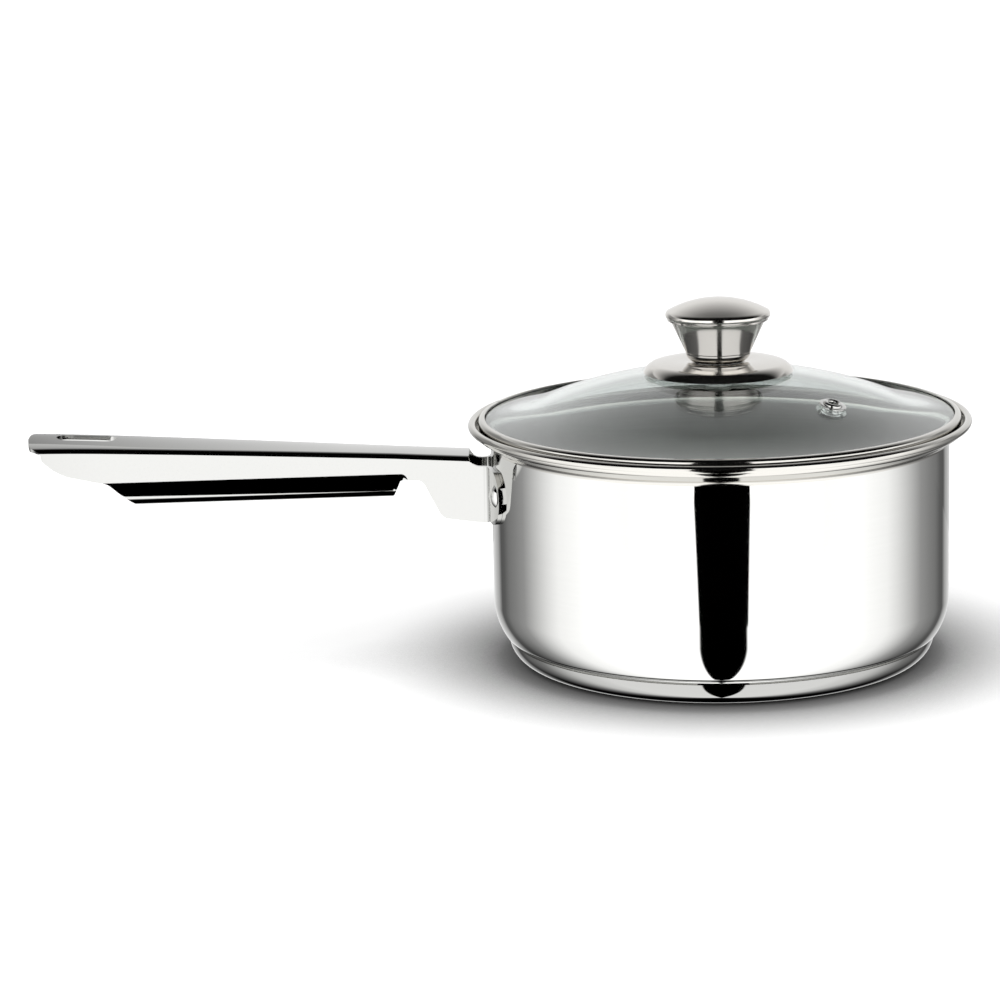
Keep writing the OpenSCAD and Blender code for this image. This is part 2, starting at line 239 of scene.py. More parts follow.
def polar(tree):
    """Height, radius and angle about the pan's axis, from the object's own coordinates."""
    co = add(tree, "ShaderNodeTexCoord")
    xyz = add(tree, "ShaderNodeSeparateXYZ", Vector=co.outputs["Object"])
    flat = add(tree, "ShaderNodeCombineXYZ", X=xyz.outputs["X"], Y=xyz.outputs["Y"])
    radius = add(tree, "ShaderNodeVectorMath", {"operation": "LENGTH"}, i0=flat.outputs[0])
    angle = add(tree, "ShaderNodeMath", {"operation": "ARCTAN2"}, i0=xyz.outputs["Y"], i1=xyz.outputs["X"])
    return xyz.outputs["Z"], radius.outputs["Value"], angle.outputs[0]


def ring_scratches(tree, spacing, along):
    """Noise drawn out round the axis: rings spacing mm apart, each along mm long at the pot's wall."""
    height, radius, angle = polar(tree)
    across = 1000 / spacing
    r = add(tree, "ShaderNodeMath", {"operation": "MULTIPLY"}, i0=radius, i1=across)
    z = add(tree, "ShaderNodeMath", {"operation": "MULTIPLY"}, i0=height, i1=across)
    a = add(tree, "ShaderNodeMath", {"operation": "MULTIPLY"}, i0=angle, i1=SCRATCH_R / along)
    v = add(tree, "ShaderNodeCombineXYZ", X=r.outputs[0], Y=z.outputs[0], Z=a.outputs[0])
    return add(tree, "ShaderNodeTexNoise", {}, Vector=v.outputs[0], Scale=1.0, Detail=3.0)


def polished_steel(colour, name="stainless_mirror_polished"):
    """18/10 stainless steel, buffed to a mirror: sharp reflections, only a breath of haze."""
    mat, tree, out = material(name)
    if tree is None:
        return mat
    co = add(tree, "ShaderNodeTexCoord")
    haze = add(tree, "ShaderNodeTexNoise", {}, Vector=co.outputs["Object"], Scale=28.0, Detail=4.0)
    rough = add(tree, "ShaderNodeMapRange", {}, Value=haze.outputs[0], To_Min=0.018, To_Max=0.05)
    fine = ring_scratches(tree, 0.9, 40)
    tint = add(tree, "ShaderNodeMix", {"data_type": "RGBA"}, Factor=fine.outputs[0],
               A=darker(colour, 0.97), B=linear(colour))
    bsdf = add(tree, "ShaderNodeBsdfPrincipled", {}, Metallic=1.0, Roughness=rough.outputs[0],
               Base_Color=tint.outputs["Result"])
    tree.links.new(bsdf.outputs[0], out.inputs["Surface"])
    return mat


def ringed_steel(name, colour, rings, dark, roughness, relief, grain):
    """Steel worked round the pan's axis: rings in tone, roughness and height, and a stretched shine."""
    mat, tree, out = material(name)
    if tree is None:
        return mat
    lines = ring_scratches(tree, *rings)
    rough = add(tree, "ShaderNodeMapRange", {}, Value=lines.outputs[0], To_Min=roughness[0],
                To_Max=roughness[1])
    tint = add(tree, "ShaderNodeMix", {"data_type": "RGBA"}, Factor=lines.outputs[0],
               A=darker(colour, dark), B=linear(colour))
    bump = add(tree, "ShaderNodeBump", {}, Strength=relief[0], Distance=relief[1], Height=lines.outputs[0])
    bsdf = add(tree, "ShaderNodeBsdfPrincipled", {}, Metallic=1.0, Anisotropic=grain,
               Roughness=rough.outputs[0], Base_Color=tint.outputs["Result"], Normal=bump.outputs[0])
    spin = add(tree, "ShaderNodeTangent", {"direction_type": "RADIAL", "axis": "Z"})
    tree.links.new(spin.outputs[0], bsdf.inputs["Tangent"])
    tree.links.new(bsdf.outputs[0], out.inputs["Surface"])
    return mat


def brushed_steel(colour):
    """Stainless steel left with a fine circular brushing: a satin sheen that streaks round the pan."""
    return ringed_steel("stainless_circular_brushed", colour, (0.7, 60), 0.82, (0.24, 0.42), (0.12, 0.0001),
                        0.5)


def satin_steel(colour, name="stainless_satin_turned", roughness=(0.07, 0.13), grain=0.4):
    """Turned stainless steel with a satin polish, as on pressed lid knobs: soft shine, faint rings."""
    return ringed_steel(name, colour, (0.45, 25), 0.95, roughness, (0.03, 0.00003), grain)


def trim_steel(colour):
    """Satin steel of the pan's rim and the lid's band, a little smoother than the knob."""
    return satin_steel(colour, "stainless_satin_trim", (0.06, 0.1))


def tempered_glass(colour):
    """Clear tempered soda-lime glass: smooth, with the faint green of its iron."""
    mat, tree, out = material("tempered_soda_lime_glass")
    if tree is None:
        return mat
    co = add(tree, "ShaderNodeTexCoord")
    smear = add(tree, "ShaderNodeTexNoise", {}, Vector=co.outputs["Object"], Scale=9.0, Detail=5.0)
    rough = add(tree, "ShaderNodeMapRange", {}, Value=smear.outputs[0], To_Min=0.0, To_Max=0.012)
    bsdf = add(tree, "ShaderNodeBsdfPrincipled", {}, Base_Color=linear(colour), Roughness=rough.outputs[0],
               IOR=1.5)
    bsdf.inputs["Transmission Weight"].default_value = 1.0
    tree.links.new(bsdf.outputs[0], out.inputs["Surface"])
    return mat


def silicone_rubber(colour):
    """Moulded silicone rubber: matt, milky and a little translucent."""
    mat, tree, out = material("silicone_moulded")
    if tree is None:
        return mat
    co = add(tree, "ShaderNodeTexCoord")
    grain = add(tree, "ShaderNodeTexNoise", {}, Vector=co.outputs["Object"], Scale=900.0, Detail=2.0)
    bump = add(tree, "ShaderNodeBump", {}, Strength=0.1, Distance=0.0001, Height=grain.outputs[0])
    bsdf = add(tree, "ShaderNodeBsdfPrincipled", {}, Base_Color=linear(colour), Roughness=0.5, IOR=1.41,
               Normal=bump.outputs[0])
    bsdf.inputs["Subsurface Weight"].default_value = 0.2
    bsdf.inputs["Subsurface Radius"].default_value = (0.001, 0.001, 0.001)
    tree.links.new(bsdf.outputs[0], out.inputs["Surface"])
    return mat


MOTTLE = 0.08  # how far the roughness of mill-finished metal wanders either way


def plain_metal(name, colour, roughness, scale):
    """Mill-finished metal inside the pan: even, slightly mottled."""
    mat, tree, out = material(name)
    if tree is None:
        return mat
    co = add(tree, "ShaderNodeTexCoord")
    grain = add(tree, "ShaderNodeTexNoise", {}, Vector=co.outputs["Object"], Scale=scale, Detail=4.0)
    rough = add(tree, "ShaderNodeMapRange", {}, Value=grain.outputs[0], To_Min=roughness - MOTTLE,
                To_Max=roughness + MOTTLE)
    bsdf = add(tree, "ShaderNodeBsdfPrincipled", {}, Metallic=1.0, Base_Color=linear(colour),
               Roughness=rough.outputs[0])
    tree.links.new(bsdf.outputs[0], out.inputs["Surface"])
    return mat


# ---------------------------------------------------------------- shared profile sizes, in millimetres

POT_R, POT_T = 80.5, 0.8
WALL_R = POT_R - POT_T / 2
CORNER_R, STEP_IN, STEP_ANGLE, FLOOR_R = 22.0, 0.6, 39.5, 8.0
CORNER = (POT_R - CORNER_R, CORNER_R)
FLOOR_C = (CORNER[0] + (CORNER_R - STEP_IN - FLOOR_R) * math.cos(math.radians(STEP_ANGLE)),
           CORNER[1] - (CORNER_R - STEP_IN - FLOOR_R) * math.sin(math.radians(STEP_ANGLE)))
FLOOR_Z = FLOOR_C[1] - FLOOR_R
RIM_CURL = 1.0
RIM_R = 88.3 - POT_T / 2 - 2 * RIM_CURL
RIM_Z = 85.6 - POT_T / 2 - RIM_CURL
RIM_FROM_Z = 77  # the wall's mirror polish ends here, under the flare
CAP_R, CAP_CORNER, CAP_T = 75.4, 8.6, 0.6
DOME_R, DOME_Z, GLASS_T = 180.0, 102.8, 4.0
DOME_C = DOME_Z - DOME_R
# Handle: where the strip starts at the rim, how far it reaches, and the crest's rise and levelling off
ROOT_X, ROOT_Z, REACH = 88.2, 74.9, 243.0
RISE = math.tan(math.radians(3.3))
LEVEL_FROM, LEVEL_DROP = 127.0, 0.4
ROOT_HALF, END_WIDTH, TAPER_FROM = 9.0, 30.4, 115.0
CROWN_R, CROWN_END_R, BEND_R = 80.0, 50.0, 2.8
CROWN_STEPS, BEND_STEPS, WALL_STEPS = 10, 12, 6
GRIP_Z, CURL_W, CURL_H = 59.6, 8.0, 10.0
CHEEK_X, CHEEK_BLEND, CHEEK_Z = -111.5, 2.5, 49.0
END_SIDE, END_CORNER, END_KNEE = 15.0, 7.0, -214.5
SLOT_X, SLOT_L, SLOT_W = -REACH + 20.1, 21.4, 9.4
SLOT_Z = 78  # the slot cuts the crown only, which lies above this height
NOTCH_R, NOTCH_TOP, NOTCH_Z = 4, 75.05, 71.05
# Flanges on the pot, and their rivets
FLANGE_R, STRIP_T, FLANGE_BEND = POT_R + 0.05, 1.5, 2.5
FLANGE_START, FLANGE_Y, FLANGE_CORNER = -84.5, 26.2, 9.0
FLANGE_LOW, FLANGE_TOP = 52.0, 71.6
RIVET_Z, RIVET_ANGLE = 62.8, 14.8
# Lid: where its glass turns to the flatter border, its holes, and the knob's plate and sheet
BORDER_FROM, BORDER_R, BORDER_SLOPE = 64, 85.5, 8.5
KNOB_HOLE_R, VENT_HOLE_R, VENT_AT, VENT_TURN = 4.5, 3.5, 52, -45
PLATE_Z, PLATE_R, KNOB_T, KNOB_BORE_R = 105.2, 26.3, 0.8, 2.8


# ---------------------------------------------------------------- settings

class SaucepanSizes(bpy.types.PropertyGroup):
    turned_steps: bpy.props.IntProperty(
        name="Turned steps", description="Facets round a turned piece", default=240, min=48, max=360)
    strip_thickness: bpy.props.FloatProperty(
        name="Strip thickness", description="Thickness of the handle's steel", default=0.0015, min=0.0008,
        max=0.002, subtype="DISTANCE", unit="LENGTH")
    rivet_head: bpy.props.FloatProperty(
        name="Rivet head", description="Diameter of the rivet heads", default=0.0078, min=0.006, max=0.0084,
        subtype="DISTANCE", unit="LENGTH")
    rim_curl_turn: bpy.props.FloatProperty(
        name="Rim curl", description="How far the pan's rim is rolled over", default=math.radians(220),
        subtype="ANGLE", unit="ROTATION")


class SaucepanColours(bpy.types.PropertyGroup):
    polished: bpy.props.StringProperty(name="Polished steel", description="sRGB hex colour",
                                       default="#D6D6D4")
    brushed: bpy.props.StringProperty(name="Brushed steel", description="sRGB hex colour",
                                      default="#CFCFCD")
    handle: bpy.props.StringProperty(name="Handle steel", description="sRGB hex colour", default="#C2C2C0")
    trim: bpy.props.StringProperty(name="Trim steel", description="sRGB hex colour", default="#CBC9C4")
    base: bpy.props.StringProperty(name="Base steel", description="sRGB hex colour", default="#A8A8A6")
    satin: bpy.props.StringProperty(name="Satin steel", description="sRGB hex colour", default="#DAD7D2")
    glass: bpy.props.StringProperty(name="Glass", description="sRGB hex colour", default="#F4FAF8")
    silicone: bpy.props.StringProperty(name="Silicone", description="sRGB hex colour", default="#E6E6E2")


# ---------------------------------------------------------------- pan

def pot_path(turn):
    """Middle of the pot's sheet, from the floor's centre up the wall to the end of the rim's curl."""
    flare_in, flare_out, tilt, curl_neck = 2.2, 1.8, 30.0, 1.1
    run = RIM_R - WALL_R - (flare_in + flare_out) * (1 - math.cos(math.radians(90 - tilt)))
    flare_h = ((flare_in + flare_out) * math.sin(math.radians(90 - tilt))
               + run / math.cos(math.radians(tilt)) * math.sin(math.radians(tilt)))
    flare_z = RIM_Z - curl_neck - flare_h
    h = POT_T / 2
    floor = [(r, FLOOR_Z + h) for r in (0.0, 10.0, 20.0, 30.0, 40.0, 50.0, 60.0)]
    return (floor
            + arc(*FLOOR_C, FLOOR_R - h, -90, -STEP_ANGLE, 4)
            + arc(*CORNER, CORNER_R - STEP_IN - h, -38.4, -34.9, 2)
            + arc(*CORNER, CORNER_R - h, -33.4, 0, 2.5)
            + [(WALL_R, z) for z in (30.0, 45.0, 60.0, 72.0)]
            + arc(WALL_R + flare_in, flare_z, flare_in, 180, 90 + tilt, 5)
            + arc(RIM_R - flare_out, RIM_Z - curl_neck, flare_out, tilt - 90, 0, 5)
            + arc(RIM_R + RIM_CURL, RIM_Z, RIM_CURL, 180, 180 - turn, 10))


class SAUCEPAN_OT_pot(bpy.types.Operator):
    """Drawn pot with a rolled rim: mirror polished outside, brushed inside"""
    bl_idname = "saucepan.pot"
    bl_label = "Pot"

    def execute(self, context):
        s, c = context.scene.saucepan_sizes, context.scene.saucepan_colours
        path = pot_path(math.degrees(s.rim_curl_turn))
        pot = turned("pot_shell", sheet_outline(path, POT_T), s.turned_steps, sharp=50)
        finish_piece(pot, "pan", [polished_steel(c.polished), brushed_steel(c.brushed), trim_steel(c.trim)],
                     ["pan_body"])
        outside, inside, rim = range(3)
        for p in pot.data.polygons:
            x, y, z = (v / MM for v in p.center)
            r = math.hypot(x, y)
            inward = p.normal.x * x + p.normal.y * y < 0 or p.normal.z > 0.5
            if inward and r < POT_R - 0.5 and z > FLOOR_Z + 0.4:
                p.material_index = inside
            else:
                p.material_index = rim if z > RIM_FROM_Z else outside
        return {"FINISHED"}


class SAUCEPAN_OT_base(bpy.types.Operator):
    """Capsule base: the polished steel skin over the aluminium core"""
    bl_idname = "saucepan.base"
    bl_label = "Base"

    def execute(self, context):
        s, c = context.scene.saucepan_sizes, context.scene.saucepan_colours
        path = [(r, CAP_T / 2) for r in (0.0, 20.0, 40.0, 58.0)]
        path += arc(CAP_R - CAP_CORNER, CAP_CORNER, CAP_CORNER - CAP_T / 2, -90, -3, 3)
        skin = turned("base_skin", sheet_outline(path, CAP_T), s.turned_steps, sharp=50)
        finish_piece(skin, "pan", [polished_steel(c.base, "stainless_base_polished")], ["base_cap"])
        refinish("base_disc", plain_metal("aluminium_rolled", "#D2D2D4", 0.35, 300.0))
        return {"FINISHED"}


# ---------------------------------------------------------------- handle

TINY_TURN = 1e-6  # degrees, so that rounding adds no step to an arc


def crest(x):
    """Height of the strip's crown at x: a steady rise that levels off towards the free end."""
    along = -x - ROOT_X
    level = max(0.0, along - LEVEL_FROM) / (REACH - ROOT_X - LEVEL_FROM)
    return ROOT_Z + along * RISE - LEVEL_DROP * level ** 2


def half_width(x):
    """Half the strip's width at x: even near the pot, then widening to the free end."""
    return ROOT_HALF + max(0.0, -x - TAPER_FROM) * (END_WIDTH - 2 * ROOT_HALF) / 2 / (REACH - TAPER_FROM)


def strip_section(x):
    """Right half of the strip's outer face at x: crown, corner, wall, then curl or cheek."""
    w, top = half_width(x), crest(x)
    crown = CROWN_R - (CROWN_R - CROWN_END_R) * (-x - ROOT_X) / (REACH - ROOT_X)
    bend = math.degrees(math.asin((w - BEND_R) / (crown - BEND_R)))
    pts = arc(0, top - crown, crown, 90, 90 - bend, bend / CROWN_STEPS + TINY_TURN)
    cx = (crown - BEND_R) * math.sin(math.radians(bend))
    cz = top - crown + (crown - BEND_R) * math.cos(math.radians(bend))
    pts += arc(cx, cz, BEND_R, 90 - bend, 0, (90 - bend) / BEND_STEPS + TINY_TURN)[1:]
    wall_end = GRIP_Z + CURL_H
    pts += [(w, cz + (wall_end - cz) * i / WALL_STEPS) for i in range(1, WALL_STEPS + 1)]
    curled = [(w - CURL_W + CURL_W * y, wall_end + CURL_H * z) for y, z in arc(0, 0, 1, 0, -90, 5)[1:]]
    curled += [(max(w - CURL_W - 1.0, 0.4), GRIP_Z)]
    straight = [(w, wall_end + (CHEEK_Z - wall_end) * i / len(curled)) for i in range(1, len(curled) + 1)]
    mix = min(1.0, max(0.0, (x - CHEEK_X) / CHEEK_BLEND))
    return pts + [(a[0] * (1 - mix) + b[0] * mix, a[1] * (1 - mix) + b[1] * mix)
                  for a, b in zip(curled, straight)]


def height_at(line, x):
    """Height of a polyline at x, or None outside it."""
    for (ax, az), (bx, bz) in zip(line, line[1:]):
        if min(ax, bx) <= x <= max(ax, bx) and ax != bx:
            return az + (bz - az) * (x - ax) / (bx - ax)
    return None


# Cuts along the strip's side view, as (x, z, radius) corners: the free end, and the gap before the flange
END_LINE = rounded([(-255.7, 96, 0), (-231.9, 72.2, 20), (END_KNEE, 68.4, 5), (-205.1, 59.4, 5),
                    (-203.0, 40, 0)])
GAP_LINE = rounded([(-130, 59.4, 0), (-115.2, 59.4, 2.5), (-112.3, 66.6, 1), (-104.6, 66.6, 3.5),
                    (-97.8, 52.9, 4), (-78, 50.2, 0), (-60, 50.2, 0)])
NOTCH = arc(-ROOT_X + NOTCH_R, NOTCH_TOP, NOTCH_R, 180, 270, 10)
NO_LIMIT = 1e9


def lower_limit(x):
    """The lowest height that the cuts leave at x."""
    best = -NO_LIMIT
    for line in (END_LINE, GAP_LINE):
        z = height_at(line, x)
        if z is not None:
            best = max(best, z)
    return best


def side_limit(x):
    """Half the width that the free end's rounded corners leave at x."""
    d = REACH + x
    if d >= END_CORNER:
        return NO_LIMIT
    return END_SIDE - END_CORNER + math.sqrt(max(0.0, END_CORNER ** 2 - (END_CORNER - d) ** 2))


def slot_half(x):
    """Half the hanging slot's width at x, zero beyond its round ends."""
    d = abs(x - SLOT_X) - (SLOT_L - SLOT_W) / 2
    if d <= 0:
        return SLOT_W / 2
    return math.sqrt(max(0.0, (SLOT_W / 2) ** 2 - d * d))


def clipped(pts, keep):
    """Moves the knots outside the kept stretch of a line to its ends."""
    def point(s):
        i = min(int(s), len(pts) - 2)
        f = s - i
        return tuple(a + (b - a) * f for a, b in zip(pts[i], pts[i + 1]))

    n = len(pts) - 1
    inside = [i for i in range(n * 4 + 1) if keep(*point(i / 4))]
    if not inside:
        return None
    ends = []
    for good, bad in ((inside[0] / 4, (inside[0] - 1) / 4), (inside[-1] / 4, (inside[-1] + 1) / 4)):
        if 0 <= bad <= n:
            for _ in range(24):
                mid = (good + bad) / 2
                good, bad = (mid, bad) if keep(*point(mid)) else (good, mid)
        ends.append(good)
    return [point(min(max(i, ends[0]), ends[1])) for i in range(n + 1)]


def spread(a, b, n):
    """n + 1 values from a to b, closer together near both."""
    return [a + (b - a) * (1 - math.cos(math.pi * i / n)) / 2 for i in range(n + 1)]


def handle_rows():
    """Rows of outer-face points of the right half, from the free end to the flange's outer end."""
    fine, coarse = 0.4, 6
    xs = set(spread(-REACH, -REACH + END_CORNER, 16)) | set(spread(-REACH + END_CORNER, END_KNEE, 24))
    xs |= set(spread(SLOT_X - SLOT_L / 2, SLOT_X - (SLOT_L - SLOT_W) / 2, 12))
    xs |= set(spread(SLOT_X + (SLOT_L - SLOT_W) / 2, SLOT_X + SLOT_L / 2, 12))
    xs |= set(x for line in (END_LINE, GAP_LINE, NOTCH) for x, z in line if -REACH < x < FLANGE_START)
    xs |= {END_KNEE + fine * i for i in range(30)} | {-200.0 + coarse * i for i in range(14)}
    xs |= {-116.0 + fine * i for i in range(56)}
    xs |= {-93.0, -92.0, -91.0, -90.0, -ROOT_X - 0.01, -ROOT_X}
    xs = {round(x, 2) for x in xs if x < FLANGE_START}
    rows = []
    for x in sorted(xs):
        z_low, y_max, y_slot = lower_limit(x), side_limit(x), slot_half(x)
        top = NO_LIMIT if x < -ROOT_X else height_at(NOTCH, x) or NOTCH_Z
        row = clipped(strip_section(x), lambda y, z: z >= z_low - 1e-7 and y <= y_max and z <= top
                      and (y >= y_slot or z < SLOT_Z))
        rows.append([(x, y, z) for y, z in row])
    # The flange's rows follow its plan: round the bend, then along the pot's wall
    face_r, cy = FLANGE_R + STRIP_T, ROOT_HALF + FLANGE_BEND
    cx = math.sqrt((face_r + FLANGE_BEND) ** 2 - cy * cy)
    plan = [(-84.0, ROOT_HALF)] + arc(-cx, cy, FLANGE_BEND, -90, -math.degrees(math.atan2(cy, cx)), 9)
    start, end = math.degrees(math.atan2(cy, cx)), math.degrees(math.asin(FLANGE_Y / face_r))
    turn_y = FLANGE_Y - FLANGE_CORNER
    mid = math.degrees(math.asin(turn_y / face_r))
    for a in [start + (mid - start) * i / 6 for i in range(1, 7)] + spread(mid, end, 12)[1:]:
        plan.append((-face_r * math.cos(math.radians(a)), face_r * math.sin(math.radians(a))))
    count, top_knots = len(strip_section(-90.0)), CROWN_STEPS + BEND_STEPS
    for x, y in plan:
        f = min(1.0, max(0.0, (y - ROOT_HALF) / FLANGE_BEND))
        low, high = (1 - f) * height_at(GAP_LINE, x) + f * FLANGE_LOW, NOTCH_Z
        if y > turn_y:
            drop = FLANGE_CORNER - math.sqrt(max(0.0, FLANGE_CORNER ** 2 - (y - turn_y) ** 2))
            low, high = low + drop, min(high, FLANGE_TOP - drop)
        rows.append([(x, y, high + (low - high) * max(0.0, i - top_knots) / (count - 1 - top_knots))
                     for i in range(count)])
    return rows


class SAUCEPAN_OT_handle(bpy.types.Operator):
    """Stamped strip handle: crowned top with a hanging slot, curled grip edges and flanges on the pot"""
    bl_idname = "saucepan.handle"
    bl_label = "Handle"

    def execute(self, context):
        s, c = context.scene.saucepan_sizes, context.scene.saucepan_colours
        rows = handle_rows()
        n = len(rows[0])
        verts = [p for row in rows for p in row]
        verts += [(x, -y, z) for x, y, z in verts]
        half, faces = len(rows) * n, []
        for j in range(len(rows) - 1):
            for i in range(n - 1):
                a, b = j * n + i, (j + 1) * n + i
                faces.append((a, b, b + 1, a + 1))
                faces.append((half + a, half + a + 1, half + b + 1, half + b))
        obj = new_object("handle_strip", verts, faces)
        top = max(obj.data.polygons, key=lambda p: p.center.z)
        if top.normal.z < 0:
            obj.data.flip_normals()
        wall = obj.modifiers.new("Wall", "SOLIDIFY")
        wall.thickness, wall.offset, wall.use_even_offset = s.strip_thickness, -1.0, True
        settled(obj)
        smooth(obj, 40)
        finish_piece(obj, "pan", [polished_steel(c.handle, "stainless_handle_polished")], ["handle"])
        return {"FINISHED"}


def rivet_tree():
    """Geometry Nodes: one rivet put at each given angle either side of the handle's centre plane."""
    tree = bpy.data.node_groups.new("Rivets", "GeometryNodeTree")
    face = tree.interface
    face.new_socket("Rivet", in_out="INPUT", socket_type="NodeSocketObject")
    face.new_socket("Angle", in_out="INPUT", socket_type="NodeSocketFloat")
    face.new_socket("Height", in_out="INPUT", socket_type="NodeSocketFloat")
    face.new_socket("Material", in_out="INPUT", socket_type="NodeSocketMaterial")
    face.new_socket("Geometry", in_out="OUTPUT", socket_type="NodeSocketGeometry")
    given = add(tree, "NodeGroupInput")
    points = add(tree, "GeometryNodePoints", {}, Count=2)
    number = add(tree, "GeometryNodeInputIndex")
    side = add(tree, "ShaderNodeMath", {"operation": "MULTIPLY_ADD"}, i0=number.outputs[0], i1=2.0, i2=-1.0)
    turn = add(tree, "ShaderNodeMath", {"operation": "MULTIPLY_ADD"}, i0=side.outputs[0],
               i1=given.outputs["Angle"], i2=math.pi)
    at_height = add(tree, "ShaderNodeCombineXYZ", Z=given.outputs["Height"])
    lifted = add(tree, "GeometryNodeSetPosition", {}, Geometry=points.outputs[0],
                 Position=at_height.outputs[0])
    spin = add(tree, "ShaderNodeCombineXYZ", Z=turn.outputs[0])
    euler = add(tree, "FunctionNodeEulerToRotation", {}, Euler=spin.outputs[0])
    source = add(tree, "GeometryNodeObjectInfo", {}, Object=given.outputs["Rivet"])
    copies = add(tree, "GeometryNodeInstanceOnPoints", {}, Points=lifted.outputs[0],
                 Instance=source.outputs["Geometry"], Rotation=euler.outputs[0])
    real = add(tree, "GeometryNodeRealizeInstances", {}, Geometry=copies.outputs[0])
    finish = add(tree, "GeometryNodeSetMaterial", {}, Geometry=real.outputs[0],
                 Material=given.outputs["Material"])
    out = add(tree, "NodeGroupOutput")
    tree.links.new(finish.outputs[0], out.inputs[0])
    return tree


class SAUCEPAN_OT_rivets(bpy.types.Operator):
    """Two solid rivets: domed heads outside, flat tails inside the pot"""
    bl_idname = "saucepan.rivets"
    bl_label = "Rivets"

    def execute(self, context):
        s, c = context.scene.saucepan_sizes, context.scene.saucepan_colours
        r = s.rivet_head / MM / 2
        gap, dome, shank, tail_t, tail_edge = 0.05, 1.7, 2.35, 1.2, 0.25
        head = FLANGE_R + STRIP_T + gap
        ball = (r * r + dome * dome) / 2 / dome
        tail = math.sqrt((POT_R - POT_T) ** 2 - r * r) - gap
        top = math.degrees(math.asin(r / ball))
        outline = ([(0, tail - tail_t), (r - tail_edge, tail - tail_t), (r, tail - tail_t + tail_edge)]
                   + [(r, tail), (shank, tail), (shank, head), (r, head)]
                   + arc(0, head + dome - ball, ball, 90 - top + 1, 90, 4))
        lying = Matrix.Rotation(math.radians(90), 4, "Y")
        one = turned("one_rivet", outline, 48, place=lying)
        steel = polished_steel(c.polished)
        holder = bpy.data.objects.new("rivets", bpy.data.meshes.new("rivets"))
        context.scene.collection.objects.link(holder)
        tree = rivet_tree()
        mod = holder.modifiers.new("Rivets", "NODES")
        mod.node_group = tree
        values = {"Rivet": one, "Angle": math.radians(RIVET_ANGLE), "Height": RIVET_Z * MM,
                  "Material": steel}
        for item in tree.interface.items_tree:
            if item.in_out == "INPUT":
                mod[item.identifier] = values[item.name]
        settled(holder)
        bpy.data.objects.remove(one)
        smooth(holder, 50)
        if not holder.data.polygons:
            raise RuntimeError("the rivets came out empty")
        finish_piece(holder, "pan", [steel], ["handle_rivets"])
        return {"FINISHED"}


# ---------------------------------------------------------------- lid

def glass_path():
    """Middle of the glass, from the knob's hole over the dome to the flatter border."""
    mid = DOME_R - GLASS_T / 2
    slope_in, r = math.degrees(math.asin(BORDER_FROM / DOME_R)), BORDER_R + GLASS_T / 2
    hole = math.degrees(math.asin(KNOB_HOLE_R / mid))
    sx, sz = mid * math.sin(math.radians(slope_in)), DOME_C + mid * math.cos(math.radians(slope_in))
    cx, cz = sx + r * math.sin(math.radians(slope_in)), sz + r * math.cos(math.radians(slope_in))
    return (arc(0, DOME_C, mid, 90 - hole, 90 - slope_in, 0.6)
            + arc(cx, cz, r, 270 - slope_in, 270 - BORDER_SLOPE, 1.2)[1:])


def at_vent():
    """The place of a piece turned about the vent's own axis, its height measured from the glass."""
    tilt = math.asin(VENT_AT / DOME_R)
    return (Matrix.Rotation(math.radians(VENT_TURN), 4, "Z") @ Matrix.Translation((0, 0, DOME_C))
            @ Matrix.Rotation(tilt, 4, "Y") @ Matrix.Translation((0, 0, DOME_R)))


class SAUCEPAN_OT_glass(bpy.types.Operator):
    """Domed tempered glass with a flatter border, and holes for the knob and the vent"""
    bl_idname = "saucepan.glass"
    bl_label = "Lid glass"

    def execute(self, context):
        s, c = context.scene.saucepan_sizes, context.scene.saucepan_colours
        path = glass_path()
        half = GLASS_T / 2
        edge = arc(*path[-1], half, 90 - BORDER_SLOPE, -90 - BORDER_SLOPE, 12)[1:-1]
        outline = offset(path, half) + edge + offset(path, -half)[::-1]
        glass = turned("lid_glass_dome", outline, s.turned_steps, sharp=50)
        drill = turned("drill", [(0, -9), (VENT_HOLE_R, -9), (VENT_HOLE_R, 9), (0, 9)], 48, place=at_vent())
        cut = glass.modifiers.new("Vent hole", "BOOLEAN")
        cut.object, cut.operation, cut.solver = drill, "DIFFERENCE", "EXACT"
        settled(glass)
        bpy.data.objects.remove(drill)
        smooth(glass, 50)
        finish_piece(glass, "lid", [tempered_glass(c.glass)], ["lid_glass"])
        return {"FINISHED"}


class SAUCEPAN_OT_band(bpy.types.Operator):
    """Steel band rolled round the glass, with its butt seam"""
    bl_idname = "saucepan.band"
    bl_label = "Lid band"

    def execute(self, context):
        s, c = context.scene.saucepan_sizes, context.scene.saucepan_colours
        r, t, top, bottom, turn, seam, seam_half = 84.6, 0.6, 87.1, 81.7, 1.1, 160, 0.15
        side, m = r - t / 2, t / 2
        cx = side - turn
        path = ([(cx - 0.8, top - m)] + arc(cx, top - m - turn, turn, 90, 0, 8)
                + arc(cx, bottom + m + turn, turn, 0, -90, 8) + [(cx - 2, bottom + m)])
        gap = math.degrees(seam_half / r)
        band = turned("lid_band", sheet_outline(path, t), s.turned_steps, seam + gap, 360 - 2 * gap,
                      sharp=50)
        finish_piece(band, "lid", [trim_steel(c.trim)], ["lid_rim"])
        return {"FINISHED"}


